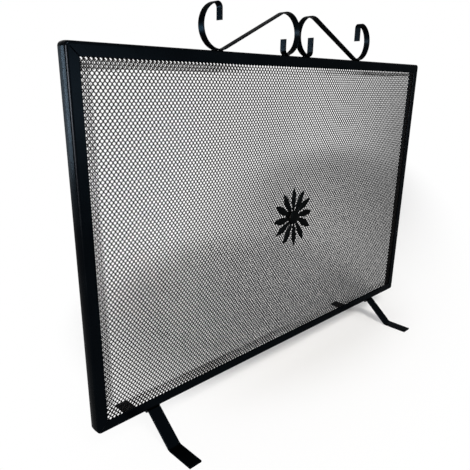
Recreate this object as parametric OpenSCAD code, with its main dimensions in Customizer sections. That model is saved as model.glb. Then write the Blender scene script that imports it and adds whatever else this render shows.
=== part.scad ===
// Free-standing fireplace screen: an angle-iron frame filled with woven wire mesh,
// two welded scrolls on top, a petalled flower in the middle and two arched feet.
// X runs along the screen, Y from front to back, Z up. The origin is on the floor,
// under the middle of the screen and midway between the ends of the toes.

/* [Frame] */
// Width of the frame over its outer faces
frame_w = 995; // [800:5:1200]
// Height of the frame over its outer faces
frame_h = 640; // [520:5:800]
// Outside width of the front leg of the folded angle section
leg = 21; // [18:1:26]
// Outside depth of the leg that points back
leg_depth = 24; // [18:1:28]
// Thickness of the angle section
leg_t = 2.5; // [2:0.5:3]
// Inside radius of the fold along the angle section
fold_r = 2; // [1:0.5:3]
// Radius ground on the four outer corners of the frame
corner_r = 8; // [2:1:8]
// Distance from the middle of the feet forward to the front face of the frame
frame_forward = 2; // [0:1:8]

/* [Mesh and retainers] */
// Thickness of the woven mesh, two wires deep
mesh_t = 2.8; // [1.6:0.1:3]
// Width of the edge of the mesh that is folded back behind itself
hem_w = 30; // [18:1:40]
// Width of the flat strips that hold the mesh in the frame
retainer_w = 12; // [8:1:14]
// Thickness of the retaining strips
retainer_t = 2; // [1.5:0.5:2.5]

/* [Scrolls] */
// Height of the scrolls above the frame
scroll_h = 77; // [60:1:95]
// Distance from the middle of the screen to the outermost point of a scroll
scroll_half_w = 251.5; // [215:0.5:300]
// Width of the flat bar the scrolls are bent from
scroll_bar_w = 14; // [10:1:16]
// Thickness of that flat bar
scroll_bar_t = 2.5; // [2:0.5:4]
// Distance the scrolls are set back from the front face of the frame
scroll_back = 1; // [0:0.5:3]
// Tight bend radius beside each tip, to the middle of the bar
tip_r = 8.5; // [7:0.5:12]
// Straight length of both tips of the left scroll
left_tip_len = 19; // [12:1:28]
// Straight length of both tips of the right scroll
right_tip_len = 27; // [12:1:28]

/* [Flower] */
// Number of petals
petals = 12; // [8:1:14]
// Distance from the centre of the flower to the tip of a petal
petal_tip_r = 67; // [50:1:80]
// Widest half-width of a petal
petal_half_w = 6.2; // [4:0.2:7]
// Radius of the domed head in the middle of the flower
dome_r = 15.5; // [12:0.5:20]
// Height of the domed head
dome_h = 5; // [3:0.5:8]
// Thickness of the petal plate
petal_t = 2; // [1.5:0.5:3]
// Length of the collar that holds the petals off the mesh
collar_len = 7; // [4:0.5:10]
// Height of the centre of the flower above the bottom of the frame
flower_z = 310; // [250:1:350]
// Shank diameter of the bolt through the flower
bolt_d = 4; // [3:0.5:5]

/* [Feet] */
// Height of the bottom of the frame above the floor
foot_h = 57; // [50:1:80]
// Distance from the outer faces of the frame in to the centre lines of the feet
foot_inset = 119.5; // [110:0.5:190]
// Width of the flat bar the feet are bent from
foot_bar_w = 27; // [20:1:40]
// Thickness of that flat bar
foot_bar_t = 4; // [3:0.5:6]
// Depth of the feet from toe end to toe end
foot_depth = 244; // [220:2:280]
// Slope of the legs of the feet, from the floor
foot_slope = 40; // [35:1:50]

/* [Hidden] */
$fn = 64;

// Colours
satin_black = "#14171b";
mesh_black = "#1d1e1f";

// The angle section
heel_r = leg_t + fold_r;              // outside radius of the fold

// Layers behind the front leg of the angle section
mesh_y = leg_t;                       // front of the mesh
hem_y = mesh_y + mesh_t;              // front of the folded edge
retainer_y = hem_y + mesh_t;          // front of the retaining strips
retainer_back = retainer_y + retainer_t;
mesh_edge = heel_r;                   // the mesh ends where the fold begins
long_retainer = frame_w - 2 * leg_t;
short_retainer = frame_h - 2 * (leg_t + retainer_w);

// Weld beads
bead = 3;                             // leg of a fillet bead
tack_len = 16;                        // length of a tack
bead_margin = 1;                      // bare metal left at each end of a corner bead
long_side_tacks = 5;                  // tacks along the top and the bottom strip
short_side_tacks = 3;                 // tacks along the left and the right strip
foot_bead = 8;                        // leg of the beads beside the feet

// The scrolls: two curls of the same radius joined by a tangent straight
bend_step = 5;                        // degrees between the points of a bend
tight_turn = 100;                     // how far the tight bend turns
tight_lead = tight_turn - 90;         // how far it carries on past its lowest point
curl_r = (scroll_h - scroll_bar_t - tip_r * (1 - cos(tight_lead))) / (1 + cos(tight_lead));
inner_curl_x = curl_r + scroll_bar_t / 2;
inner_curl_z = scroll_bar_t / 2 + tip_r + (curl_r - tip_r) * cos(tight_lead);
outer_curl_x = scroll_half_w - inner_curl_x;
outer_curl_z = curl_r + scroll_bar_t / 2;
curl_gap = norm([outer_curl_x - inner_curl_x, outer_curl_z - inner_curl_z]);
curl_rise = atan2(outer_curl_z - inner_curl_z, outer_curl_x - inner_curl_x);
tangent_dip = asin(2 * curl_r / curl_gap);
brace_heading = curl_rise - tangent_dip;
brace_len = curl_gap * cos(tangent_dip);
big_turn = 270 - tight_turn - brace_heading;
tight_x = inner_curl_x - (curl_r - tip_r) * sin(tight_lead);
tight_z = inner_curl_z - (curl_r - tip_r) * cos(tight_lead);
function scroll_path(tip_len) =
    walk([tight_x + tip_r, tight_z + tip_len, -90],
         [["go", tip_len],
          ["bend", tip_r, -tight_turn],
          ["bend", curl_r, -big_turn],
          ["go", brace_len],
          ["bend", curl_r, big_turn],
          ["bend", tip_r, tight_turn],
          ["go", tip_len]]);
curl_weld_from = 6;                   // where the outer filler starts, from the contact
curl_weld_to = 13;                    // and where it ends
tip_weld_from = 3;                    // the same for the tighter inner curl
tip_weld_to = 8;
weld_inset = 1;                       // the filler stops short of the back of the bar

// The flower
petal_turn = 5.6;                     // turn of the first petal from the X axis
petal_lean = 4;                       // how far a tip leans clockwise
petal_steps = 14;                     // points along one side of a petal
petal_fullness = 1.3;                 // above 1 moves the widest point outwards
petal_disc_r = dome_r - 1;            // disc that the petals grow from
petal_from_r = 0.8 * petal_disc_r;    // the petals start inside that disc
petal_root = 0.66 * petal_disc_r * sin(180 / petals);    // half-width where they start
bolt_fit = 0.3;                       // clearance of the holes on the shank
bolt_hole_d = bolt_d + bolt_fit;
collar_r = bolt_d / 2 + 3.5;
washer_r = 11;
washer_t = 1.5;
nut_r = bolt_d * 0.9;                 // over the corners
nut_t = bolt_d * 0.8;
bolt_tail = 1.5;                      // thread past the nut
collar_y = mesh_y - collar_len;       // front of the collar
plate_y = collar_y - petal_t;         // front of the petal plate

// The feet
foot_x = frame_w / 2 - foot_inset;    // centre lines of the feet
foot_bend_r = 12.5;                   // bend radius to the middle of the bar
foot_crown = 6;                       // flat length under the frame
foot_crown_y = 12;                    // middle of that flat, behind the front face
foot_drop = foot_h - foot_bar_t;
foot_leg_len = (foot_drop - 2 * foot_bend_r * (1 - cos(foot_slope))) / sin(foot_slope);
foot_leg_run = 2 * foot_bend_r * sin(foot_slope) + foot_leg_len * cos(foot_slope);
crown_y = foot_crown_y - frame_forward;
front_toe = foot_depth / 2 + crown_y - foot_crown / 2 - foot_leg_run;
rear_toe = foot_depth / 2 - crown_y - foot_crown / 2 - foot_leg_run;
foot_start = [-foot_depth / 2, foot_bar_t / 2, 0];
foot_moves = [["go", front_toe],
              ["bend", foot_bend_r, foot_slope],
              ["go", foot_leg_len],
              ["bend", foot_bend_r, -foot_slope],
              ["go", foot_crown],
              ["bend", foot_bend_r, -foot_slope],
              ["go", foot_leg_len],
              ["bend", foot_bend_r, foot_slope],
              ["go", rear_toe]];
foot_path = walk(foot_start, foot_moves);

// Paths. A point of a path is [u, v, heading]; a move goes straight on or bends.
function go(p, d) = [p[0] + d * cos(p[2]), p[1] + d * sin(p[2]), p[2]];

function bend(p, r, turn) =
    let (s = sign(turn), a = p[2] + turn)
    [p[0] + s * r * (sin(a) - sin(p[2])), p[1] - s * r * (cos(a) - cos(p[2])), a];

function move_points(p, m) =
    m[0] == "go" ? [go(p, m[1])]
    : let (n = ceil(abs(m[2]) / bend_step)) [for (k = [1:n]) bend(p, m[1], m[2] * k / n)];

function walk(p, moves, i = 0) =
    i == len(moves) ? [p]
    : let (q = move_points(p, moves[i]), last = len(q) - 1)
      concat([p], [for (k = [0:1:last - 1]) q[k]], walk(q[last], moves, i + 1));

function beside(p, d) = [p[0] - d * sin(p[2]), p[1] + d * cos(p[2])];

// Outline of a bar of thickness t bent along a path
module bar_outline(path, t) {
    last = len(path) - 1;
    polygon(concat([for (p = path) beside(p, t / 2)],
                   [for (i = [last:-1:0]) beside(path[i], -t / 2)]));
}

// Moves a shape from the frame's own axes (front face at Y 0, bottom at Z 0)
module on_frame() {
    translate([0, -frame_forward, foot_h]) children();
}

// A shape drawn in X and Z, given depth d backwards from Y y
module standing(y, d) {
    translate([0, y + d, 0]) rotate([90, 0, 0]) linear_extrude(d) children();
}

// Section of the angle: Y across the page, Z up it, outside corner at the origin
module angle_section() {
    translate([heel_r, 0]) square([leg_depth - heel_r, leg_t]);
    translate([0, heel_r]) square([leg_t, leg - heel_r]);
    intersection() {
        square(heel_r);
        translate([heel_r, heel_r]) difference() {
            circle(heel_r);
            circle(fold_r);
        }
    }
}

// Face of one side of the frame, mitred at both ends and round at the outer corners
module side_face(length) {
    r = corner_r;
    intersection() {
        polygon([[-length / 2, 0], [length / 2, 0],
                 [length / 2 - leg, leg], [leg - length / 2, leg]]);
        union() {
            translate([r - length / 2, 0]) square([length - 2 * r, leg]);
            translate([-length / 2, r]) square([length, leg - r]);
            for (x = [r - length / 2, length / 2 - r]) translate([x, r]) circle(r);
        }
    }
}

// One side of the frame lying along X, outside down and front towards -Y
module frame_side(length) {
    intersection() {
        translate([-length / 2, 0, 0]) rotate([90, 0, 90])
            linear_extrude(length) angle_section();
        standing(0, leg_depth) side_face(length);
    }
}

// Puts a side made along X on the top, right, bottom or left of the frame
module at_bottom() { on_frame() children(); }
module at_top() { on_frame() translate([0, 0, frame_h]) rotate([0, 180, 0]) children(); }
module at_left() { on_frame() translate([-frame_w / 2, 0, frame_h / 2]) rotate([0, 90, 0]) children(); }
module at_right() { on_frame() translate([frame_w / 2, 0, frame_h / 2]) rotate([0, -90, 0]) children(); }

module top_rail() { color(satin_black) at_top() frame_side(frame_w); }
module bottom_rail() { color(satin_black) at_bottom() frame_side(frame_w); }
module left_stile() { color(satin_black) at_left() frame_side(frame_h); }
module right_stile() { color(satin_black) at_right() frame_side(frame_h); }

// A triangular fillet bead of length d along +Y, in the corner at the origin
module fillet_bead(size, d) {
    standing(0, d) polygon([[0, 0], [size, 0], [0, size]]);
}

// One bead down the inside of each mitred corner, behind the retaining strips
module corner_welds() {
    start = retainer_back + bead_margin;
    color(satin_black) on_frame() translate([0, start, frame_h / 2])
        for (sx = [0, 1], sz = [0, 1]) mirror([sx, 0, 0]) mirror([0, 0, sz])
            translate([leg_t - frame_w / 2, 0, leg_t - frame_h / 2])
                fillet_bead(bead, leg_depth - start - bead_margin);
}

// The mesh sheet as a closed solid, with its edges folded back all round
module mesh_panel() {
    w = frame_w - 2 * mesh_edge;
    h = frame_h - 2 * mesh_edge;
    color(mesh_black) on_frame() difference() {
        translate([-w / 2, mesh_y, mesh_edge]) cube([w, 2 * mesh_t, h]);
        translate([hem_w - w / 2, hem_y, mesh_edge + hem_w])
            cube([w - 2 * hem_w, 2 * mesh_t, h - 2 * hem_w]);
        translate([0, mesh_y + mesh_t / 2, flower_z]) rotate([90, 0, 0])
            cylinder(h = 2 * mesh_t, d = bolt_hole_d, center = true);
    }
}

// A retaining strip along X behind the mesh, its outer edge against the angle
module retainer(length) {
    translate([-length / 2, retainer_y, leg_t]) cube([length, retainer_t, retainer_w]);
}

module top_retainer() { color(satin_black) at_top() retainer(long_retainer); }
module bottom_retainer() { color(satin_black) at_bottom() retainer(long_retainer); }
module left_retainer() { color(satin_black) at_left() retainer(short_retainer); }
module right_retainer() { color(satin_black) at_right() retainer(short_retainer); }

// A row of tacks between the back of a strip and the inside of the angle
module tack_row(length, count) {
    pitch = length / count;
    for (i = [0:count - 1]) translate([pitch * (i + 0.5) - length / 2 - tack_len / 2, 0, 0])
        translate([0, retainer_back, leg_t]) rotate([90, 0, 90])
            linear_extrude(tack_len) polygon([[0, 0], [bead, 0], [0, bead]]);
}

module retainer_welds() {
    color(satin_black) {
        at_top() tack_row(frame_w, long_side_tacks);
        at_bottom() tack_row(frame_w, long_side_tacks);
        at_left() tack_row(frame_h, short_side_tacks);
        at_right() tack_row(frame_h, short_side_tacks);
    }
}

// Moves a shape from the back edge of the front fold of the top rail, in the middle
module on_top_rail() {
    on_frame() translate([0, scroll_back, frame_h]) children();
}

// One scroll, right of the middle of the screen
module scroll(tip_len) {
    on_top_rail() standing(0, scroll_bar_w) bar_outline(scroll_path(tip_len), scroll_bar_t);
}

module right_scroll() { color(satin_black) scroll(right_tip_len); }
module left_scroll() { color(satin_black) mirror([1, 0, 0]) scroll(left_tip_len); }

// Outline of the weld fillers of the right scroll where it stands on the rail. None is
// taller than the bar is thick, so each stays under the bar.
module rail_filler() {
    difference() {
        for (side = [-1, 1]) {
            translate([outer_curl_x, 0]) filler_block(side, curl_weld_from, curl_weld_to);
            translate([tight_x, 0]) filler_block(side, tip_weld_from, tip_weld_to);
        }
        bar_outline(scroll_path(right_tip_len), scroll_bar_t);
    }
}

// A block on one side of a contact at the origin, its base on the X axis
module filler_block(side, from, to) {
    translate([side > 0 ? from : -to, 0]) square([to - from, scroll_bar_t]);
}

// Outline of the two fillers above and below the contact between the scrolls
module middle_filler() {
    difference() {
        for (start = [curl_weld_from, -curl_weld_to])
            translate([-scroll_bar_t, inner_curl_z + start])
                square([2 * scroll_bar_t, curl_weld_to - curl_weld_from]);
        for (m = [0, 1]) mirror([m, 0]) bar_outline(scroll_path(right_tip_len), scroll_bar_t);
    }
}

module scroll_welds() {
    start = heel_r - scroll_back;
    depth = scroll_bar_w - start - weld_inset;
    color(satin_black) on_top_rail() {
        for (m = [0, 1]) mirror([m, 0, 0]) standing(start, depth) rail_filler();
        standing(start, depth) middle_filler();
    }
}

// Outline of a petal that points a degrees from the X axis and leans a little to one
// side: out along one edge, round the tip and back along the other
function petal_outline(a) =
    concat([for (i = [0:petal_steps]) turned(petal_point(i / petal_steps, -1), a)],
           [for (i = [petal_steps - 1:-1:0]) turned(petal_point(i / petal_steps, 1), a)]);

function petal_point(s, side) =
    let (half_w = petal_root * (1 - s) + petal_half_w * sin(180 * pow(s, petal_fullness)))
    [petal_from_r + (petal_tip_r - petal_from_r) * s, petal_lean * s * s + side * half_w];

function turned(p, a) = [p[0] * cos(a) - p[1] * sin(a), p[0] * sin(a) + p[1] * cos(a)];

module at_flower(y) { on_frame() translate([0, y, flower_z]) rotate([-90, 0, 0]) children(); }

module petal_plate() {
    color(satin_black) at_flower(plate_y) difference() {
        linear_extrude(petal_t) {
            circle(petal_disc_r);
            polygon([for (i = [0:petals - 1]) each petal_outline(360 * i / petals - petal_turn)]);
        }
        cylinder(h = 3 * petal_t, d = bolt_hole_d, center = true);
    }
}

// Domed head and shank, in one piece
module dome_bolt() {
    ball_r = (dome_r * dome_r + dome_h * dome_h) / (2 * dome_h);
    shank = nut_t + bolt_tail + washer_t + mesh_t + collar_len + petal_t;
    color(satin_black) at_flower(plate_y) union() {
        rotate_extrude() intersection() {
            translate([0, ball_r - dome_h]) circle(ball_r);
            translate([0, -dome_h]) square([dome_r, dome_h]);
        }
        cylinder(h = shank, d = bolt_d);
    }
}

module ring(h, r, hole_d) {
    difference() {
        cylinder(h = h, r = r);
        cylinder(h = 3 * h, d = hole_d, center = true);
    }
}

module spacer_collar() { color(satin_black) at_flower(collar_y) ring(collar_len, collar_r, bolt_hole_d); }
module back_washer() { color(satin_black) at_flower(hem_y) ring(washer_t, washer_r, bolt_hole_d); }
module bolt_nut() {
    color(satin_black) at_flower(hem_y + washer_t) difference() {
        cylinder(h = nut_t, r = nut_r, $fn = 6);
        cylinder(h = 3 * nut_t, d = bolt_d, center = true);
    }
}

// A foot: one flat bar bent into an arch with two flat toes
module foot() {
    translate([-foot_bar_w / 2, 0, 0]) rotate([90, 0, 90])
        linear_extrude(foot_bar_w) bar_outline(foot_path, foot_bar_t);
}

module left_foot() { color(satin_black) translate([-foot_x, 0, 0]) foot(); }
module right_foot() { color(satin_black) translate([foot_x, 0, 0]) foot(); }

// Beads in the corners between the sides of each foot and the underside of the frame
module foot_welds() {
    depth = leg_depth - heel_r - bead_margin;
    color(satin_black) on_frame()
        for (x = [-foot_x, foot_x], m = [0, 1])
            translate([x, heel_r, 0]) mirror([m, 0, 0]) translate([foot_bar_w / 2, 0, 0])
                mirror([0, 0, 1]) fillet_bead(foot_bead, depth);
}

top_rail();
bottom_rail();
left_stile();
right_stile();
corner_welds();
mesh_panel();
top_retainer();
bottom_retainer();
left_retainer();
right_retainer();
retainer_welds();
left_scroll();
right_scroll();
scroll_welds();
petal_plate();
dome_bolt();
spacer_collar();
back_washer();
bolt_nut();
left_foot();
right_foot();
foot_welds();
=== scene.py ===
import math
import bpy
import numpy as np
from mathutils import Matrix, Vector


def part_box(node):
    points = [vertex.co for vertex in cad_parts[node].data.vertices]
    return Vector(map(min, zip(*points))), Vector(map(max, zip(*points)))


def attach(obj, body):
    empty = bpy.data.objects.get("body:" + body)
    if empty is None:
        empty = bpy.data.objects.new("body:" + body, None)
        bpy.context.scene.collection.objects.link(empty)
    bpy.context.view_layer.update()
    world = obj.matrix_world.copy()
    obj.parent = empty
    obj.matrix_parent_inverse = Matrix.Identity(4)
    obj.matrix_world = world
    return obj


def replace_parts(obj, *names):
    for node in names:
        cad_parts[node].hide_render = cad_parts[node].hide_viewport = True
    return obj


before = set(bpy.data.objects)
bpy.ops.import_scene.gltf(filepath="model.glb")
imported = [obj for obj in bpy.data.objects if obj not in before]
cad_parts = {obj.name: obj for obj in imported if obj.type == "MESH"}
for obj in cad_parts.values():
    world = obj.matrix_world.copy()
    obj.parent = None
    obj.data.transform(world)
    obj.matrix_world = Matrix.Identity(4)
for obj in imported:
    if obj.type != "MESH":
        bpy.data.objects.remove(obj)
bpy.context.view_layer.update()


# ---- Frame: four sides of steel angle, mitred, welded and ground at the corners. One leg,
# 21 mm wide, faces the room; the other points back 24 mm round the outside.
# The whole screen is sprayed with one coat of satin black paint.

MM = 0.001
CLOUD_SCALE, PEEL_SCALE = 14, 650
PEEL_DEPTH = 0.3 * MM
DARK_CLOUD, PALE_CLOUD = 0.7, 1.35


def black_paint(name, colour, roughness, peel=0.12, metallic=0.9, edge=0.5):
    """Sprayed black paint: cloudy colour and gloss and a fine orange peel. A lacquer over
    bright steel is mostly metallic, and edge dims what it mirrors at a glancing angle."""
    mat = bpy.data.materials.new(name)
    mat.use_nodes = True
    nodes, links = mat.node_tree.nodes, mat.node_tree.links
    shader = nodes["Principled BSDF"]
    shader.inputs["Specular IOR Level"].default_value = 0.05
    shader.inputs["Metallic"].default_value = metallic
    shader.inputs["Specular Tint"].default_value = (edge, edge, edge, 1)
    place = nodes.new("ShaderNodeTexCoord")

    cloud = nodes.new("ShaderNodeTexNoise")
    cloud.inputs["Scale"].default_value = CLOUD_SCALE
    cloud.inputs["Detail"].default_value = 5
    links.new(place.outputs["Object"], cloud.inputs["Vector"])

    tint = nodes.new("ShaderNodeMix")
    tint.data_type = "RGBA"
    tint.inputs[6].default_value = (*[DARK_CLOUD * c for c in colour], 1)
    tint.inputs[7].default_value = (*[PALE_CLOUD * c for c in colour], 1)
    links.new(cloud.outputs["Fac"], tint.inputs["Factor"])
    links.new(tint.outputs[2], shader.inputs["Base Color"])

    gloss = nodes.new("ShaderNodeMapRange")
    gloss.inputs["From Min"].default_value = 0.3
    gloss.inputs["From Max"].default_value = 0.7
    gloss.inputs["To Min"].default_value = roughness - 0.05
    gloss.inputs["To Max"].default_value = roughness + 0.07
    links.new(cloud.outputs["Fac"], gloss.inputs["Value"])
    links.new(gloss.outputs["Result"], shader.inputs["Roughness"])

    skin = nodes.new("ShaderNodeTexNoise")
    skin.inputs["Scale"].default_value = PEEL_SCALE
    skin.inputs["Detail"].default_value = 2
    links.new(place.outputs["Object"], skin.inputs["Vector"])
    bump = nodes.new("ShaderNodeBump")
    bump.inputs["Strength"].default_value = peel
    bump.inputs["Distance"].default_value = PEEL_DEPTH
    links.new(skin.outputs["Fac"], bump.inputs["Height"])
    links.new(bump.outputs["Normal"], shader.inputs["Normal"])
    return mat


def piece(name, points, faces, material):
    """A new smooth piece from an array of points and a list of faces, riding on the frame."""
    mesh = bpy.data.meshes.new(name)
    mesh.from_pydata(points.reshape(-1, 3), [], faces)
    mesh.polygons.foreach_set("use_smooth", [True] * len(mesh.polygons))
    mesh.materials.append(material)
    obj = bpy.data.objects.new(name, mesh)
    bpy.context.scene.collection.objects.link(obj)
    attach(obj, "root")
    return obj


def tube_faces(copies, rings, sides):
    """Quads round every tube of a [copy, ring, side] grid, and one flat cap at each end."""
    grid = np.arange(copies * rings * sides).reshape(copies, rings, sides)
    ahead = np.roll(grid, -1, axis=2)
    quads = np.stack([grid[:, :-1], ahead[:, :-1], ahead[:, 1:], grid[:, 1:]], -1).reshape(-1, 4)
    caps = np.concatenate([grid[:, 0, ::-1], grid[:, -1]])
    return quads.tolist() + caps.tolist()


frame_paint = black_paint("satin_black_paint", (0.0015, 0.0024, 0.0034), 0.25, peel=0.05)
rail_low, rail_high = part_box("top_rail")
frame_low = Vector((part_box("left_stile")[0].x, rail_low.y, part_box("bottom_rail")[0].z))
frame_high = Vector((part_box("right_stile")[1].x, rail_high.y, rail_high.z))
leg = rail_high.z - rail_low.z
leg_depth = frame_high.y - frame_low.y
leg_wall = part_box("top_retainer")[0].x - frame_low.x
HEEL_R = 4.5 * MM
CORNER_R = 8 * MM
EDGE_R = 0.8 * MM
BACK_CROWN = 0.55 * MM
SEAM_W, SEAM_DEEP = 0.8 * MM, 1.2 * MM
LEAST_REACH = 0.02 * MM


def rounded(centre, radius, start, end, steps):
    """Points on an arc as arrays of inset and depth, the angle in quarter turns."""
    turn = np.linspace(start, end, steps) * np.pi / 2
    return centre[0] + radius * np.cos(turn), centre[1] + radius * np.sin(turn)


def angle_profile():
    """Outline of the rolled angle, from the front face round the heel to the back leg and
    home along the inside, as arrays of inset from the outer face and depth behind the
    front. The back leg is crowned by a sine, and every edge is a small quarter circle."""
    heel = HEEL_R + BACK_CROWN
    along = np.linspace(0, 1, 15)
    parts = [
        (np.linspace(leg - 2 * EDGE_R, heel + 0.5 * MM, 9), np.zeros(9)),
        rounded((heel, HEEL_R), HEEL_R, -1, -2, 12),
        (BACK_CROWN * (1 - np.sin(np.pi * along[1:-1])),
         HEEL_R + (leg_depth - EDGE_R - HEEL_R) * along[1:-1]),
        rounded((BACK_CROWN + EDGE_R, leg_depth - EDGE_R), EDGE_R, 2, 1, 5),
        rounded((leg_wall - EDGE_R, leg_depth - EDGE_R), EDGE_R, 1, 0, 5),
        (np.array([leg_wall, leg_wall]), np.array([leg_depth - 2 * EDGE_R, HEEL_R + EDGE_R])),
        rounded((HEEL_R, HEEL_R), HEEL_R - leg_wall, -2, -1, 7),
        (np.array([HEEL_R + EDGE_R, leg - 2 * EDGE_R]), np.array([leg_wall, leg_wall])),
        rounded((leg - EDGE_R, leg_wall - EDGE_R), EDGE_R, 1, 0, 5),
        rounded((leg - EDGE_R, EDGE_R), EDGE_R, 0, -1, 5)]
    return (np.concatenate(p) for p in zip(*parts))


def angle_side(name, length, along, inward, origin):
    """One mitred side on a [station, profile] grid. A profile point runs straight, then
    round a quarter circle that the corner radius less its inset leaves, as far as the
    45 degree plane of the mitre. On the front a shallow seam is left along the mitre, and
    the last stations before it lie closer and closer."""
    inset, depth = angle_profile()
    middle = np.maximum(CORNER_R, inset)
    reach = np.maximum(CORNER_R - inset, LEAST_REACH)
    before = np.array([60, 6, 2, 1, 0.6, 0.3]) * SEAM_W
    turn = np.radians(np.linspace(0, 45, 8))[:, None]
    end = length / 2 - middle + np.concatenate([0 * middle - before[:, None],
                                                reach * np.sin(turn)])
    inwards = np.concatenate([middle - reach + 0 * before[:, None], middle - reach * np.cos(turn)])
    to_mitre = np.concatenate([before, 0 * turn[:, 0]])[:, None]
    ground_off = np.clip((inset - CORNER_R) / (2 * MM), 0, 1) * (depth < 0.01 * MM)
    seam = SEAM_DEEP * np.clip(1 - to_mitre / SEAM_W, 0, 1) ** 2 * ground_off
    s = np.concatenate([-end[::-1], end])
    n = np.concatenate([inwards[::-1], inwards])
    d = depth + np.concatenate([seam[::-1], seam])
    along, inward, origin = (np.array(a, float) for a in (along, inward, origin))
    backwards = np.array([0, 1, 0])
    points = origin + s[..., None] * along + n[..., None] * inward + d[..., None] * backwards
    return piece(name, points, tube_faces(1, len(s), len(inset)), frame_paint)


front, middle_z = frame_low.y, (frame_low.z + frame_high.z) / 2
frame_w, frame_h = frame_high.x - frame_low.x, frame_high.z - frame_low.z
for side, length, along, inward, origin in (
        ("bottom_rail", frame_w, (1, 0, 0), (0, 0, 1), (0, front, frame_low.z)),
        ("top_rail", frame_w, (-1, 0, 0), (0, 0, -1), (0, front, frame_high.z)),
        ("left_stile", frame_h, (0, 0, -1), (1, 0, 0), (frame_low.x, front, middle_z)),
        ("right_stile", frame_h, (0, 0, 1), (-1, 0, 0), (frame_high.x, front, middle_z))):
    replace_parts(angle_side(side + "_angle", length, along, inward, origin), side)


# ---- Welds of the frame: a bead down the inside of each mitred corner. Each bead is laid
# by hand and shows the ripples of the moving torch; the front of the joint is ground off.

weld_paint = black_paint("paint_over_weld", (0.0026, 0.0041, 0.0056), 0.36, peel=0.25)
RIPPLE_PITCH = 1.3 * MM
BEAD_RINGS, BEAD_SIDES = 48, 14


def weld_beads(name, starts, ends, out, across, height, ripple):
    """Beads from start to end. The cross-section is an ellipse, across wide each side and
    height tall each side of the centre line; both swell and shrink with the ripples and
    close in at the two ends as a quarter circle does."""
    starts, ends, out = (np.asarray(a, float).reshape(-1, 3) for a in (starts, ends, out))
    run = ends - starts
    length = np.linalg.norm(run, axis=1, keepdims=True)
    t = np.linspace(0, 1, BEAD_RINGS)
    near_end = np.minimum(np.minimum(t, 1 - t) * length / across, 1)
    close = np.sqrt(np.clip(1 - (1 - near_end) ** 2, 0.02, 1))
    ripples = 1 + ripple * (np.abs(np.sin(np.pi * t * length / RIPPLE_PITCH)) - 0.5)
    unsteady = 1 + 0.6 * ripple * np.sin(9 * t + 5 * np.arange(len(starts))[:, None])
    size = (close * ripples * unsteady)[..., None, None]
    out = out / np.linalg.norm(out, axis=1, keepdims=True)
    side = np.cross(out, run / length)
    turn = np.linspace(0, 2 * np.pi, BEAD_SIDES, endpoint=False)[:, None]
    ring = across * np.cos(turn) * side[:, None] + height * np.sin(turn) * out[:, None]
    centre = starts[:, None] + t[:, None] * run[:, None]
    points = centre[:, :, None] + size * ring[:, None]
    faces = tube_faces(len(starts), BEAD_RINGS, BEAD_SIDES)
    return piece(name, points, faces, weld_paint)


inside_low, inside_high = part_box("corner_welds")
bead_in = leg_wall + 1.2 * MM
corners = [(x + sx * bead_in, z + sz * bead_in, sx, sz)
           for x, sx in ((frame_low.x, 1), (frame_high.x, -1))
           for z, sz in ((frame_low.z, 1), (frame_high.z, -1))]
corner_beads = weld_beads(
    "corner_beads",
    starts=[(x, inside_low.y, z) for x, z, sx, sz in corners],
    ends=[(x, inside_high.y, z) for x, z, sx, sz in corners],
    out=[(sx, 0, sz) for x, z, sx, sz in corners],
    across=2.4 * MM, height=1.5 * MM, ripple=0.22)
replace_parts(corner_beads, "corner_welds")


# ---- Mesh: flattened coils of black wire stand side by side and hook through each other
# at every bend, which makes the diamond cells and the thick dark knots between them.
# The sheet bows forwards on both sides of the flower, and its edge is folded back behind.

WIRE_D = 1.72 * MM
CELL_W = 7.70 * MM
CELL_H = 9.53 * MM
HOOK = 0.5 * WIRE_D
FLATNESS = 2.2
RINGS_PER_TURN = 6
WIRE_SIDES = 5
TUBE_R = 0.54
BOW = 10.5 * MM
PANELS = 7
FIRST_KNOT_IN, FIRST_KNOT_UP = 24.3 * MM, 616.6 * MM

mesh_low, mesh_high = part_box("mesh_panel")
layer = (mesh_high.y - mesh_low.y) / 2
front_layer_y = mesh_low.y + layer / 2
hem_layer_y = front_layer_y + layer
first_cell = Vector((frame_low.x + FIRST_KNOT_IN, 0, frame_low.z + FIRST_KNOT_UP))

wire_paint = black_paint("black_wire", (0.0036, 0.0037, 0.0039), 0.45, peel=0.0)


def coil_lines(first_x, last_x, low_z, high_z):
    """Centre lines of the coils between two places across the sheet, as [coil, ring]
    arrays of x, depth and z. A coil swings left and right between two columns of knots,
    as a rounded zigzag, while its strands lie in front on one way and behind on the other."""
    column = CELL_W / 2
    coil = np.arange(math.floor((first_x - first_cell.x) / column),
                     math.ceil((last_x - first_cell.x) / column))[:, None]
    turns = (low_z - first_cell.z) / CELL_H - 1, (high_z - first_cell.z) / CELL_H + 1
    step = np.arange(math.floor(turns[0] * RINGS_PER_TURN), math.ceil(turns[1] * RINGS_PER_TURN))
    angle = 2 * np.pi * step[None, :] / RINGS_PER_TURN
    z = first_cell.z + CELL_H * (angle / (2 * np.pi) - 0.5 * (coil % 2))
    swing = (np.cos(angle) + 0.09 * np.cos(3 * angle)) / 1.09
    x = first_cell.x + column * (coil + 0.5) + (column / 2 + HOOK) * swing
    depth = -0.45 * WIRE_D * np.tanh(FLATNESS * np.sin(angle)) / np.tanh(FLATNESS) + 0 * x
    return x, depth, z + 0 * x


def wander(x, z):
    """How far a woven sheet strays from a perfect lattice: in x and in z a slow wave and a
    quicker one, which add up to about half a millimetre at most."""
    dx = 0.35 * MM * np.sin(x * 11 + 2.0 * np.sin(z * 7)) + 0.16 * MM * np.sin(z * 37 + x * 5)
    dz = 0.40 * MM * np.sin(z * 9 + 1.7 * np.sin(x * 6)) + 0.16 * MM * np.sin(x * 31 - z * 4)
    return dx, dz


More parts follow.
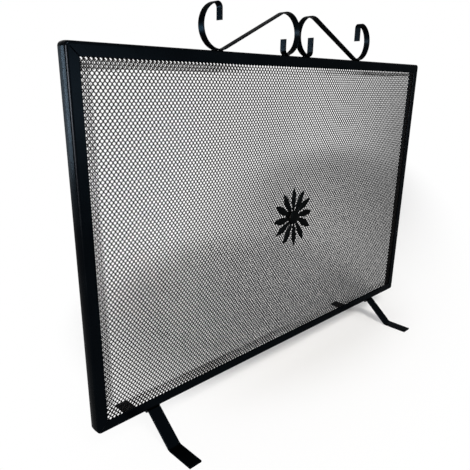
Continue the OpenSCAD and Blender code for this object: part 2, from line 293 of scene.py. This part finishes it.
def bow(x, z):
    """How far the sheet stands forward of flat: a half sine from the middle to each side,
    flattened where the flower's bolt holds it, times a half sine in height that peaks
    above the middle."""
    side = np.clip(np.abs(x) / mesh_high.x, 0, 1)
    height = np.clip((z - mesh_low.z) / (mesh_high.z - mesh_low.z), 0, 1)
    return BOW * np.sin(np.pi * side) * np.tanh(7 * side) * np.sin(np.pi * height ** 1.4)


def wire_tubes(name, x, y, z, keep, wire=WIRE_D):
    """Five-sided tubes along [coil, ring] centre lines, where keep is true. The corners
    stand on a circle in two directions at right angles to the line, a little wider than
    the wire to make up for the flat sides. Every end of a run is capped, and a ring that
    would stand alone is left out."""
    centre = np.stack([x, y, z], -1)
    along = np.gradient(centre, axis=1)
    along /= np.linalg.norm(along, axis=-1, keepdims=True)
    side = np.cross(along, [0, 1, 0])
    side /= np.linalg.norm(side, axis=-1, keepdims=True)
    up = np.cross(side, along)
    turn = 2 * np.pi * np.arange(WIRE_SIDES) / WIRE_SIDES
    ring = np.cos(turn)[:, None] * side[:, :, None] + np.sin(turn)[:, None] * up[:, :, None]
    points = centre[:, :, None] + TUBE_R * wire * ring
    before = np.pad(keep[:, :-1], ((0, 0), (1, 0)))
    after = np.pad(keep[:, 1:], ((0, 0), (0, 1)))
    keep = keep & (before | after)
    index = np.cumsum(keep.ravel()).reshape(keep.shape) - 1
    grid = index[..., None] * WIRE_SIDES + np.arange(WIRE_SIDES)
    ahead = np.roll(grid, -1, axis=2)
    quads = np.stack([grid[:, :-1], grid[:, 1:], ahead[:, 1:], ahead[:, :-1]], -1)
    joined = quads[keep[:, :-1] & keep[:, 1:]].reshape(-1, 4)
    caps = np.concatenate([grid[keep & ~before], grid[keep & ~after][:, ::-1]])
    return piece(name, points[keep], joined.tolist() + caps.tolist(), wire_paint)


# The sheet is built in panels side by side. Each ends a hair beside a column of knots, so
# that every coil belongs to one panel.
panels = []
HAIR = 0.1 * MM
edges = np.linspace(mesh_low.x, mesh_high.x, PANELS + 1)
columns = np.round((edges - first_cell.x) / (CELL_W / 2)) * CELL_W / 2 + first_cell.x + HAIR
for number in range(PANELS):
    x, depth, z = coil_lines(columns[number], columns[number + 1] - 2 * HAIR,
                             mesh_low.z, mesh_high.z)
    dx, dz = wander(x, z)
    inside = (z > mesh_low.z) & (z < mesh_high.z) & (x > mesh_low.x) & (x < mesh_high.x)
    y = front_layer_y + depth - bow(x, z)
    panels.append(wire_tubes(f"mesh_wires_{number + 1}", x + dx, y, z + dz, inside))

# Folded edges. Each fold line lies behind the front leg, a little inside the sheet's edge.
FOLD_IN = 1.5 * MM
HEM_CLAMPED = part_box("top_retainer")[1].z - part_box("top_retainer")[0].z
HEM_SPRING = 0.05
TOP_HEM_WIRE_D, LEFT_HEM_WIRE_D = 1.0 * MM, 0.75 * MM
TOP_HEM_W, BOTTOM_HEM_W, HEM_NARROWS = 34 * MM, 36 * MM, 8 * MM
LEFT_HEM_W, RIGHT_HEM_W = 32 * MM, 24 * MM
PULL, PULL_RUN = 2.8 * MM, 686 * MM
IN_STEP, DRIFT_RUN = 110 * MM, 130 * MM
FREE_FROM, FREE_RUN = 16 * MM, 4 * MM


def on_lattice(place, origin, step):
    """The nearest fold line that lays folded cells over whole ones."""
    return origin + step * round((place - origin) / step)


def hem(name, x, depth, z, s, width, slip, fold_x=None, fold_z=None, wire=WIRE_D):
    """Wires past a fold line come back behind the sheet: their distance s past the line
    is mirrored, and past the clamping strip they lean back a little more with it. A fold
    made by hand also lets the layer slip in x and z by a part of a cell."""
    dx, dz = wander(x, z)
    if fold_x is not None:
        x, dx = 2 * fold_x - x, -dx
    if fold_z is not None:
        z, dz = 2 * fold_z - z, -dz
    x, z = x + slip[0], z + slip[1]
    y = hem_layer_y - depth - bow(x, z) + HEM_SPRING * np.clip(s - HEM_CLAMPED, 0, None)
    within = (x > mesh_low.x) & (x < mesh_high.x)
    return wire_tubes(name, x + dx, y, z + dz, (s > 0) & (s < width) & within, wire)


def pulled(distance, start):
    """How far the folded layer was pulled along by hand: PULL more on every PULL_RUN."""
    return PULL * (start + distance / PULL_RUN)


left_fold = on_lattice(mesh_low.x + FOLD_IN, first_cell.x, CELL_W / 2)
right_fold = on_lattice(mesh_high.x - FOLD_IN, first_cell.x, CELL_W / 2)
low_fold = on_lattice(mesh_low.z + FOLD_IN, first_cell.z, CELL_H / 2)
high_fold = on_lattice(mesh_high.z - FOLD_IN, first_cell.z, CELL_H / 2)

# The top and bottom hems get narrower from left to right. Towards both ends the free part
# of the top one has slipped half a cell out of step with the sheet.
x, depth, z = coil_lines(left_fold, right_fold, high_fold, high_fold + 40 * MM)
share = (x - frame_low.x) / (frame_high.x - frame_low.x)
drift = np.clip((np.abs(x) - IN_STEP) / DRIFT_RUN, 0, 1)
free = np.clip((z - high_fold - FREE_FROM) / FREE_RUN, 0, 1)
hem("hem_top", x, depth, z, z - high_fold, TOP_HEM_W - HEM_NARROWS * share,
    slip=(pulled(x, 1.22) + CELL_W / 2 * drift * free, 0), fold_z=high_fold,
    wire=TOP_HEM_WIRE_D)

x, depth, z = coil_lines(left_fold, right_fold, low_fold - 45 * MM, low_fold)
share = (x - frame_low.x) / (frame_high.x - frame_low.x)
hem("hem_bottom", x, depth, z, low_fold - z, BOTTOM_HEM_W - HEM_NARROWS * share,
    slip=(pulled(x, 1.22) + 0.3 * MM, -2.3 * MM), fold_z=low_fold)

# The side hems run between the other two. The left one lies half a cell out of step.
side_low, side_high = low_fold + 33 * MM, high_fold - 28 * MM
x, depth, z = coil_lines(left_fold - 30 * MM, left_fold, side_low, side_high)
past_fold = np.where((z > side_low) & (z < side_high), left_fold - x, -1)
hem("hem_left", x, depth, z, past_fold, LEFT_HEM_W,
    slip=(1.9 * MM, CELL_H / 2 + pulled(z, -0.94)), fold_x=left_fold, wire=LEFT_HEM_WIRE_D)
x, depth, z = coil_lines(right_fold, right_fold + 30 * MM, side_low, side_high)
past_fold = np.where((z > side_low) & (z < side_high), x - right_fold, -1)
hem("hem_right", x, depth, z, past_fold, RIGHT_HEM_W,
    slip=(-2.3 * MM, -1.0 * MM), fold_x=right_fold)
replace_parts(panels[0], "mesh_panel")


# ---- Retaining strips: four flat steel strips behind the front legs clamp the mesh.
# They are tacked to the inside of the angle every hand's width or two and painted over.

strip_paint = black_paint("paint_on_strips", (0.0030, 0.0036, 0.0042), 0.44,
                          metallic=0, edge=1)
for strip in ("top_retainer", "bottom_retainer", "left_retainer", "right_retainer"):
    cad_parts[strip].data.materials.clear()
    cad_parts[strip].data.materials.append(strip_paint)

tacks_low, tacks_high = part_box("retainer_welds")
TACK = 16 * MM
TACK_BEHIND, TACK_IN = 0.4 * MM, 0.6 * MM
LONG_TACKS, SHORT_TACKS = 5, 3


def spread(count, low, high):
    """Middles of equal shares of a length."""
    return low + (np.arange(count) + 0.5) * (high - low) / count


tack_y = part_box("top_retainer")[1].y + TACK_BEHIND
starts, ends, outs = [], [], []
for z, sign in ((tacks_low.z + TACK_IN, 1), (tacks_high.z - TACK_IN, -1)):
    for x in spread(LONG_TACKS, frame_low.x, frame_high.x):
        starts.append((x - TACK / 2, tack_y, z))
        ends.append((x + TACK / 2, tack_y, z))
        outs.append((0, 1, sign))
for x, sign in ((tacks_low.x + TACK_IN, 1), (tacks_high.x - TACK_IN, -1)):
    for z in spread(SHORT_TACKS, frame_low.z, frame_high.z):
        starts.append((x, tack_y, z - TACK / 2))
        ends.append((x, tack_y, z + TACK / 2))
        outs.append((sign, 1, 0))
retainer_tacks = weld_beads("retainer_tacks", starts, ends, outs,
                            across=2.3 * MM, height=1.4 * MM, ripple=0.25)
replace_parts(retainer_tacks, "retainer_welds")


# ---- Scrolls: each is one length of flat steel bar with rolled edges, bent cold round a
# former into two curls and a straight brace, with a tight turn and a tip at both ends.
# Left and right are mirror images, but the right one was cut with longer tips.

bar_paint = black_paint("paint_on_bars", (0.0018, 0.0028, 0.0038), 0.28, peel=0.08, edge=0.3)
BEND_STEP = math.radians(3)


def bar_profile(width, thickness, edge):
    """Outline of a flat bar: a rectangle with its corners rounded by quarter circles, and
    an extra point on each flat beside every corner so that the flats shade flat."""
    turn = np.linspace(0, np.pi / 2, 4)
    across = np.concatenate([[width / 2 - edge], width / 2 - edge + edge * np.sin(turn)])
    up = np.concatenate([[thickness / 2], thickness / 2 - edge + edge * np.cos(turn)])
    across[0] -= 1.2 * edge
    across = np.concatenate([across, across[::-1], -across, -across[::-1]])
    up = np.concatenate([up, -up[::-1], -up, up[::-1]])
    return across, up


def bent_path(u, v, heading, moves):
    """Centre line as arrays of u, v and heading. A move is ("go", length) or
    ("bend", radius, turn), the turn anticlockwise in radians; an arc's points lie every
    BEND_STEP, each at its start plus the radius times the change in sine and cosine."""
    us, vs, hs = [np.array([u])], [np.array([v])], [np.array([heading])]
    for move in moves:
        u, v, heading = us[-1][-1], vs[-1][-1], hs[-1][-1]
        if move[0] == "go":
            near_end = min(0.5 * MM, move[1] / 4)
            far = np.array([near_end, move[1] - near_end, move[1]])
            us.append(u + far * math.cos(heading))
            vs.append(v + far * math.sin(heading))
            hs.append(np.full(3, heading))
        else:
            radius, turn = move[1], move[2]
            angle = heading + turn * np.linspace(0, 1, math.ceil(abs(turn) / BEND_STEP) + 1)[1:]
            us.append(u + math.copysign(radius, turn) * (np.sin(angle) - math.sin(heading)))
            vs.append(v - math.copysign(radius, turn) * (np.cos(angle) - math.cos(heading)))
            hs.append(angle)
    return np.concatenate(us), np.concatenate(vs), np.concatenate(hs)


def bent_bar(name, path, profile, place, paint):
    """A bar along a bent path: every profile point is carried along, its up part on the
    path's normal and its across part on the third axis. place gives the space axes of
    (u, v, across) and the origin."""
    u, v, heading = path
    across, up = profile
    u_axis, v_axis, across_axis, origin = (np.array(a, float) for a in place)
    along_u = u[:, None] - up * np.sin(heading)[:, None]
    along_v = v[:, None] + up * np.cos(heading)[:, None]
    points = (origin + along_u[..., None] * u_axis + along_v[..., None] * v_axis
              + across[:, None] * across_axis)
    faces = tube_faces(1, len(u), len(across))
    if np.dot(np.cross(u_axis, v_axis), across_axis) < 0:
        faces = [f[::-1] for f in faces]
    return piece(name, points, faces, paint)


scroll_low, scroll_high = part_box("right_scroll")
scroll_h = scroll_high.z - frame_high.z
scroll_w = scroll_high.y - scroll_low.y
SCROLL_T, SCROLL_EDGE_R = 2.5 * MM, 0.6 * MM
TIP_R = 8.5 * MM
TIP_TURN = math.radians(100)
LEFT_TIP, RIGHT_TIP = 19 * MM, 27 * MM

lead = TIP_TURN - math.pi / 2
curl_r = (scroll_h - SCROLL_T - TIP_R * (1 - math.cos(lead))) / (1 + math.cos(lead))
inner_curl = Vector((curl_r + SCROLL_T / 2,
                     SCROLL_T / 2 + TIP_R + (curl_r - TIP_R) * math.cos(lead)))
outer_curl = Vector((scroll_high.x - curl_r - SCROLL_T / 2, curl_r + SCROLL_T / 2))
between = outer_curl - inner_curl
dip = math.asin(2 * curl_r / between.length)
brace_heading = math.atan2(between.y, between.x) - dip
brace_len = between.length * math.cos(dip)
curl_turn = 1.5 * math.pi - TIP_TURN - brace_heading
tip_bend = inner_curl - (curl_r - TIP_R) * Vector((math.sin(lead), math.cos(lead)))

scroll_profile = bar_profile(scroll_w, SCROLL_T, SCROLL_EDGE_R)
for side, sign, tip in (("left_scroll", -1, LEFT_TIP), ("right_scroll", 1, RIGHT_TIP)):
    path = bent_path(tip_bend.x + TIP_R, tip_bend.y + tip, -math.pi / 2,
                     [("go", tip), ("bend", TIP_R, -TIP_TURN), ("bend", curl_r, -curl_turn),
                      ("go", brace_len), ("bend", curl_r, curl_turn), ("bend", TIP_R, TIP_TURN),
                      ("go", tip)])
    place = ((sign, 0, 0), (0, 0, 1), (0, 1, 0),
             (0, (scroll_low.y + scroll_high.y) / 2, frame_high.z))
    scroll_bar = bent_bar(side + "_bar", path, scroll_profile, place, bar_paint)
    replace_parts(scroll_bar, side)


# ---- Scroll welds: a bead each side of every place where a curl stands on the rail, and
# one above and one below the place where the two curls touch.

weld_low, weld_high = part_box("scroll_welds")
BESIDE_CURL, BESIDE_TIP, INSIDE_TIP, BESIDE_TOUCH = 8 * MM, 4.5 * MM, 7 * MM, 7.5 * MM
curl_outside, tip_outside = curl_r + SCROLL_T / 2, TIP_R + SCROLL_T / 2


def under_curl(offset, radius):
    """Height of a curl's outside above the rail, offset to one side of its lowest point."""
    return radius - math.sqrt(radius ** 2 - offset ** 2)


starts, ends, outs = [], [], []
for sign in (-1, 1):
    for foot, radius, offset in ((outer_curl.x, curl_outside, BESIDE_CURL),
                                 (outer_curl.x, curl_outside, -BESIDE_CURL),
                                 (tip_bend.x, tip_outside, BESIDE_TIP),
                                 (tip_bend.x, curl_outside, -INSIDE_TIP)):
        x, z = sign * (foot + offset), frame_high.z + under_curl(offset, radius) / 2
        starts.append((x, weld_low.y, z))
        ends.append((x, weld_high.y, z))
        outs.append((0, 0, 1))
rail_beads = weld_beads("scroll_rail_beads", starts, ends, outs,
                        across=3.2 * MM, height=1.15 * MM, ripple=0.2)
touch = frame_high.z + inner_curl.y
heights = (touch + BESIDE_TOUCH, touch - BESIDE_TOUCH)
weld_beads("scroll_middle_beads",
           starts=[(0, weld_low.y, z) for z in heights],
           ends=[(0, weld_high.y, z) for z in heights],
           out=[(1, 0, 0), (1, 0, 0)],
           across=3.0 * MM, height=1.5 * MM, ripple=0.2)
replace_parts(rail_beads, "scroll_welds")


# ---- Flower: twelve leaf-shaped petals cut from sheet steel and crowned with a hammer,
# all from one disc. A domed bolt goes through it, a collar and one cell of the mesh.

flower_paint = black_paint("paint_on_flower", (0.0022, 0.0027, 0.0030), 0.38, peel=0.2)
petal_low, petal_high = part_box("petal_plate")
dome_low, dome_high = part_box("dome_bolt")
flower = np.array([0, 0, (dome_low.z + dome_high.z) / 2])
PETALS = 12
PETAL_R = 67 * MM
PETAL_HALF_W = 6.7 * MM
PETAL_FROM = 11 * MM
FIRST_PETAL = math.radians(5.6)
DISC_EDGE_R, DISC_HOLE_R = 0.8 * MM, 3 * MM
DOME_FLAT = 1 * MM
DOME_EDGE = 0.4 * MM
BOLT_R = 2 * MM
THREAD_PITCH, THREAD_DEPTH = 0.7 * MM, 0.2 * MM
chance = np.random.default_rng(12)


def petals(name):
    """Each petal is a closed leaf on a [length, round] grid. Half its width is a sine whose
    widest point lies past the middle, its middle line leans to one side with the square of
    the length, and the leaf is crowned forwards along its middle line."""
    along, around = 26, 16
    s = np.linspace(0.0, 1, along)[:, None]
    turn = np.linspace(0, 2 * np.pi, around, endpoint=False)[None, :]
    angle = FIRST_PETAL + 2 * np.pi * np.arange(PETALS) / PETALS
    angle = (angle + np.radians(chance.uniform(-1.5, 1.5, PETALS)))[:, None, None]
    tip = (PETAL_R * (1 + chance.uniform(-0.035, 0.01, PETALS)))[:, None, None]
    lean = (chance.uniform(2.6, 5.4, PETALS) * MM)[:, None, None]
    half = 2.3 * MM * (1 - s) + PETAL_HALF_W * np.sin(np.pi * s ** 1.31) + 0.12 * MM
    wall = 0.75 * MM * np.sqrt(np.clip(1 - s ** 12, 0.02, 1))
    across = half * np.cos(turn)
    crown = 1.7 * MM * (half / PETAL_HALF_W) * (1 - (across / half) ** 2)
    vein = 0.35 * MM * np.exp(-(across / (0.9 * MM)) ** 2) * np.sin(np.pi * s)
    front = -wall * np.sin(turn) - crown - vein
    out = PETAL_FROM + (tip - PETAL_FROM) * s
    side = across - lean * s ** 2
    curl = 1.4 * MM * np.sin(2.2 * s + 3 * angle) * s
    x = out * np.cos(angle) - side * np.sin(angle)
    z = out * np.sin(angle) + side * np.cos(angle)
    y = petal_high.y - wall + front + curl + 0 * x
    points = np.stack([x, y, z + flower[2]], -1)
    return piece(name, points, tube_faces(PETALS, along, around), flower_paint)


def turned(name, radius, y, sides=64, wave=None):
    """A shape turned on the flower's axis: radius and y are arrays along the profile, and
    wave, if given, adds to the radius at each [profile, turn] point."""
    turn = np.linspace(0, 2 * np.pi, sides, endpoint=False)
    r = radius[:, None] + (0 * turn if wave is None else wave(y[:, None], turn[None, :]))
    along = np.broadcast_to(y[:, None], r.shape)
    points = np.stack([r * np.cos(turn), along, r * np.sin(turn)], -1)
    faces = [f[::-1] for f in tube_faces(1, len(radius), sides)]
    return piece(name, points + flower, faces, flower_paint)


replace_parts(petals("flower_petals"), "petal_plate")

plate_middle = (petal_low.y + petal_high.y) / 2
half_plate = (petal_high.y - petal_low.y) / 2
dome_r = (dome_high.x - dome_low.x) / 2
dome_h = petal_low.y - dome_low.y
disc_turn = np.linspace(0, np.pi, 9)
disc_rim = dome_r - 1 * MM - DISC_EDGE_R + DISC_EDGE_R * np.sin(disc_turn)
turned("flower_disc",
       np.concatenate([[DISC_HOLE_R], disc_rim, [DISC_HOLE_R]]),
       np.concatenate([[plate_middle - half_plate],
                       plate_middle - half_plate * np.cos(disc_turn),
                       [plate_middle + half_plate]]))


def hammered(y, turn):
    """Shallow dents of the hammer over the dome, fading to nothing behind it."""
    dents = np.sin(5 * turn + 900 * y) * np.sin(3 * turn - 700 * y)
    return 0.16 * MM * dents * (y < petal_low.y)


rise_angle = np.linspace(0.02, 1, 22) * np.pi / 2
dome = turned(
    "flower_dome",
    np.concatenate([dome_r * np.sin(rise_angle), [dome_r, dome_r - DOME_EDGE, BOLT_R]]),
    np.concatenate([petal_low.y - DOME_FLAT - (dome_h - DOME_FLAT) * np.cos(rise_angle),
                    [petal_low.y - DOME_EDGE, petal_low.y, petal_low.y]]),
    wave=hammered)


def thread(y, turn):
    """A screw thread: the crest climbs one pitch for each turn round the shank."""
    pitches = y / THREAD_PITCH + turn / (2 * np.pi)
    return THREAD_DEPTH * (2 * np.abs(pitches % 1 - 0.5) - 1)


shank_y = np.arange(petal_low.y, dome_high.y, THREAD_PITCH / 6)
turned("flower_bolt_shank", np.full(len(shank_y), BOLT_R), shank_y, sides=24, wave=thread)
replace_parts(dome, "dome_bolt")

hardware_paint = black_paint("paint_on_hardware", (0.0040, 0.0044, 0.0048), 0.42,
                             metallic=0, edge=1)
for small in ("spacer_collar", "back_washer", "bolt_nut"):
    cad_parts[small].data.materials.clear()
    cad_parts[small].data.materials.append(hardware_paint)


# ---- Feet: two flat steel bars bent into arches that straddle the screen. The crown is
# welded under the bottom rail, and the two toes of each foot lie flat on the hearth.

foot_low, foot_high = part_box("left_foot")
FOOT_T, FOOT_EDGE_R = 4 * MM, 0.7 * MM
FOOT_BEND_R = 12.5 * MM
FOOT_SLOPE = math.radians(40)
CROWN = 6 * MM
CROWN_BEHIND_FRONT = 12 * MM

foot_w = foot_high.x - foot_low.x
foot_drop = foot_high.z - foot_low.z - FOOT_T
leg_len = (foot_drop - 2 * FOOT_BEND_R * (1 - math.cos(FOOT_SLOPE))) / math.sin(FOOT_SLOPE)
leg_run = 2 * FOOT_BEND_R * math.sin(FOOT_SLOPE) + leg_len * math.cos(FOOT_SLOPE)
crown_y = frame_low.y + CROWN_BEHIND_FRONT
front_toe = crown_y - CROWN / 2 - leg_run - foot_low.y
rear_toe = foot_high.y - crown_y - CROWN / 2 - leg_run
foot_path = bent_path(foot_low.y, foot_low.z + FOOT_T / 2, 0.0,
                      [("go", front_toe), ("bend", FOOT_BEND_R, FOOT_SLOPE), ("go", leg_len),
                       ("bend", FOOT_BEND_R, -FOOT_SLOPE), ("go", CROWN),
                       ("bend", FOOT_BEND_R, -FOOT_SLOPE), ("go", leg_len),
                       ("bend", FOOT_BEND_R, FOOT_SLOPE), ("go", rear_toe)])
foot_profile = bar_profile(foot_w, FOOT_T, FOOT_EDGE_R)
for side in ("left_foot", "right_foot"):
    low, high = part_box(side)
    place = ((0, 1, 0), (0, 0, 1), (1, 0, 0), ((low.x + high.x) / 2, 0, 0))
    foot_bar = bent_bar(side + "_bar", foot_path, foot_profile, place, frame_paint)
    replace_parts(foot_bar, side)


# ---- Foot welds: a hollow fillet on both sides of each foot, built up in the corner
# between the edge of the bar and the underside of the rail.

foot_weld_low, foot_weld_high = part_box("foot_welds")
FILLET_RINGS = 34
HOLLOW, LEG_TIP, BURIED = 0.85, 1.05, -0.12


def fillets(name, corners_x, signs, y_low, y_high, top, size):
    """Hollow fillets on a [run, round] grid. The face is a quarter circle that curves in
    towards the corner, from the rail to the side of the bar, with ripples along the run;
    the other two sides lie buried inside the rail and the bar."""
    run = np.linspace(0, 1, FILLET_RINGS)
    turn = np.linspace(0, np.pi / 2, 9)
    hollow = np.stack([1 - HOLLOW * np.sin(turn), 1 - HOLLOW * np.cos(turn)], -1)
    hollow = np.concatenate([[[LEG_TIP, BURIED]], hollow, [[BURIED, LEG_TIP]],
                             [[BURIED, BURIED]]])
    close = np.sqrt(np.clip(1 - (2 * run - 1) ** 8, 0.05, 1))
    ripples = 1 + 0.05 * np.abs(np.sin(np.pi * run * (y_high - y_low) / RIPPLE_PITCH))
    scale = size * (close * ripples)[:, None, None] * hollow
    points = []
    for x, sign in zip(corners_x, signs):
        y = np.broadcast_to((y_low + run * (y_high - y_low))[:, None], scale.shape[:2])
        points.append(np.stack([x + sign * scale[..., 0], y, top - scale[..., 1]], -1))
    grid = tube_faces(1, FILLET_RINGS, len(hollow))
    faces = []
    for copy, sign in enumerate(signs):
        offset = copy * FILLET_RINGS * len(hollow)
        faces += [[i + offset for i in (f if sign > 0 else f[::-1])] for f in grid]
    return piece(name, np.concatenate(points), faces, weld_paint)


edges_x = [end.x for side in ("left_foot", "right_foot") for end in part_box(side)]
foot_fillets = fillets("foot_fillets", edges_x, (-1, 1, -1, 1),
                       foot_weld_low.y, foot_weld_high.y,
                       frame_low.z, foot_weld_high.z - foot_weld_low.z)
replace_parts(foot_fillets, "foot_welds")


# ---- Floor: a plain pale floor with no edge in sight. It is as white as the surroundings,
# except in two painted grey areas behind the screen, where the white is taken off and the
# rendered shade shows: the screen's shadow in the near one, the lamps' fall-off in the far one.

FLOOR_R = 12.0
FLOOR_SIDES = 96
GREY_TURN = math.radians(32.7)
# Painted shade: inside these two ellipses the white is taken off, so the floor's rendered shade
# shows only there.
GREY_NEAR = {"centre": (0.28, 0.39, 0), "spread": (1.0, 0.75, 1), "start": 0.40, "end": 0.75}
GREY_FAR = {"centre": (1.90, 1.25, 0), "spread": (2.1, 0.5, 1), "start": 0.30, "end": 1.50}
LEAST_WHITE = 0.1


def seen_or_mirrored(nodes, links):
    """The socket that is one for camera rays, mirrored rays and rays through glass."""
    ray = nodes.new("ShaderNodeLightPath")
    mirrored = nodes.new("ShaderNodeMath")
    mirrored.operation = "ADD"
    links.new(ray.outputs["Is Glossy Ray"], mirrored.inputs[0])
    links.new(ray.outputs["Is Transmission Ray"], mirrored.inputs[1])
    seen = nodes.new("ShaderNodeMath")
    seen.operation = "ADD"
    seen.use_clamp = True
    links.new(ray.outputs["Is Camera Ray"], seen.inputs[0])
    links.new(mirrored.outputs["Value"], seen.inputs[1])
    return seen.outputs["Value"]


turn = np.linspace(0, 2 * np.pi, FLOOR_SIDES, endpoint=False)
rim = FLOOR_R * np.stack([np.cos(turn), np.sin(turn), 0 * turn], -1)
floor_mesh = bpy.data.meshes.new("floor")
floor_mesh.from_pydata(rim, [], [list(range(FLOOR_SIDES))])
floor = bpy.data.objects.new("floor", floor_mesh)
bpy.context.scene.collection.objects.link(floor)

floor_mat = bpy.data.materials.new("pale_floor")
floor_mat.use_nodes = True
nodes, links = floor_mat.node_tree.nodes, floor_mat.node_tree.links
matt = nodes["Principled BSDF"]
matt.inputs["Base Color"].default_value = (0.95, 0.93, 0.905, 1)
matt.inputs["Roughness"].default_value = 0.9
matt.inputs["Specular IOR Level"].default_value = 0.1
white = nodes.new("ShaderNodeEmission")
white.inputs["Color"].default_value = (1, 1, 1, 1)
place = nodes.new("ShaderNodeTexCoord")

# Round each painted grey area, an ellipse, the floor fades to white with the distance.
fades = []
for grey in (GREY_NEAR, GREY_FAR):
    area = nodes.new("ShaderNodeMapping")
    area.vector_type = "TEXTURE"
    area.inputs["Location"].default_value = grey["centre"]
    area.inputs["Rotation"].default_value = (0, 0, GREY_TURN)
    area.inputs["Scale"].default_value = grey["spread"]
    distance = nodes.new("ShaderNodeVectorMath")
    distance.operation = "LENGTH"
    fade = nodes.new("ShaderNodeMapRange")
    fade.interpolation_type = "SMOOTHSTEP"
    fade.inputs["From Min"].default_value = grey["start"]
    fade.inputs["From Max"].default_value = grey["end"]
    links.new(place.outputs["Object"], area.inputs["Vector"])
    links.new(area.outputs["Vector"], distance.inputs[0])
    links.new(distance.outputs["Value"], fade.inputs["Value"])
    fades.append(fade)
both = nodes.new("ShaderNodeMath")
both.operation = "MULTIPLY"
links.new(fades[0].outputs["Result"], both.inputs[0])
links.new(fades[1].outputs["Result"], both.inputs[1])
whiteness = nodes.new("ShaderNodeMapRange")
whiteness.inputs["To Min"].default_value = LEAST_WHITE
links.new(both.outputs["Value"], whiteness.inputs["Value"])
mask = nodes.new("ShaderNodeMath")
mask.operation = "MULTIPLY"
links.new(whiteness.outputs["Result"], mask.inputs[0])
links.new(seen_or_mirrored(nodes, links), mask.inputs[1])
mix = nodes.new("ShaderNodeMixShader")
links.new(mask.outputs["Value"], mix.inputs["Fac"])
links.new(matt.outputs["BSDF"], mix.inputs[1])
links.new(white.outputs["Emission"], mix.inputs[2])
links.new(mix.outputs["Shader"], nodes["Material Output"].inputs["Surface"])
floor_mesh.materials.append(floor_mat)


# ---- Light: one broad soft key lamp high in front on the left, and a pale sky all round
# that is brightest up on the left. Four cards, which light nothing, only show as the long
# highlights on the side of the frame, on its fold and on its front.

SKY_FROM = (-0.70, 0.25, 0.67)
SKY_LEAST, SKY_MOST = 0.10, 0.62

world = bpy.data.worlds.new("studio")
world.use_nodes = True
bpy.context.scene.world = world
nodes, links = world.node_tree.nodes, world.node_tree.links
sky = nodes["Background"]
sky.inputs["Color"].default_value = (0.93, 0.96, 1.0, 1)
place = nodes.new("ShaderNodeTexCoord")
towards = nodes.new("ShaderNodeVectorMath")
towards.operation = "DOT_PRODUCT"
towards.inputs[1].default_value = SKY_FROM
level = nodes.new("ShaderNodeMapRange")
level.inputs["From Min"].default_value = -1
level.inputs["To Min"].default_value = SKY_LEAST
level.inputs["To Max"].default_value = SKY_MOST
links.new(place.outputs["Generated"], towards.inputs[0])
links.new(towards.outputs["Value"], level.inputs["Value"])
links.new(level.outputs["Result"], sky.inputs["Strength"])
backdrop = nodes.new("ShaderNodeBackground")
backdrop.inputs["Color"].default_value = (1, 1, 1, 1)
mix = nodes.new("ShaderNodeMixShader")
links.new(seen_or_mirrored(nodes, links), mix.inputs["Fac"])
links.new(sky.outputs["Background"], mix.inputs[1])
links.new(backdrop.outputs["Background"], mix.inputs[2])
links.new(mix.outputs["Shader"], nodes["World Output"].inputs["Surface"])


def soft_lamp(name, position, target, size, power, colour, lights=True):
    """A rectangular lamp that faces the target and isn't seen itself. With lights off it
    is a reflection card, and only shows in surfaces that mirror it."""
    data = bpy.data.lights.new(name, "AREA")
    data.shape = "RECTANGLE"
    data.size, data.size_y = size
    data.energy = power
    data.color = colour
    lamp = bpy.data.objects.new(name, data)
    lamp.location = position
    lamp.rotation_euler = (Vector(position) - Vector(target)).to_track_quat("Z", "Y").to_euler()
    lamp.visible_camera = False
    lamp.visible_diffuse = lights
    bpy.context.scene.collection.objects.link(lamp)


screen_middle = (0, 0, 0.35)
stile_top = (-0.5, 0, 0.5)
soft_lamp("key_lamp", (-0.9, -2.3, 2.8), screen_middle, (1.2, 1.2), 105, (1, 0.985, 0.96))
for name, position, size, power, colour in (
        ("back_strip", (-1.32, 1.26, 0.56), (0.09, 0.50), 19, (0.88, 0.96, 1)),
        ("back_card", (-1.01, 1.41, 0.52), (0.25, 0.6), 3.2, (0.75, 0.9, 1)),
        ("side_card", (-2.12, -0.78, 0.62), (1.1, 0.45), 205, (1, 0.70, 0.58)),
        ("front_card", (0.82, -2.7, 0.55), (0.8, 0.5), 9, (0.9, 0.97, 1))):
    soft_lamp(name, position, stile_top, size, power, colour, lights=False)


# ---- Camera: in front of the screen and out to its left, a little lower than its top rail.
# It looks across the screen at an angle and a little down.

CAMERA_AT = (-0.8364, -0.6838, 0.6444)
yaw, pitch, roll = math.radians(44.17), math.radians(18.41), math.radians(0.84)

camera_data = bpy.data.cameras.new("camera")
camera = bpy.data.objects.new("camera", camera_data)
bpy.context.scene.collection.objects.link(camera)
camera_data.sensor_width = 36
camera_data.lens = 38.43
camera_data.shift_x = 0.0014
camera_data.shift_y = 0.0317
camera_data.clip_start = 0.01
forward = Vector((math.sin(yaw) * math.cos(pitch), math.cos(yaw) * math.cos(pitch),
                  -math.sin(pitch)))
level = Vector((math.cos(yaw), -math.sin(yaw), 0))
right = math.cos(roll) * level + math.sin(roll) * level.cross(forward)
turned_to = Matrix((right, right.cross(forward), -forward)).transposed().to_4x4()
camera.matrix_world = Matrix.Translation(CAMERA_AT) @ turned_to
bpy.context.scene.camera = camera
bpy.context.scene.view_settings.view_transform = "Standard"
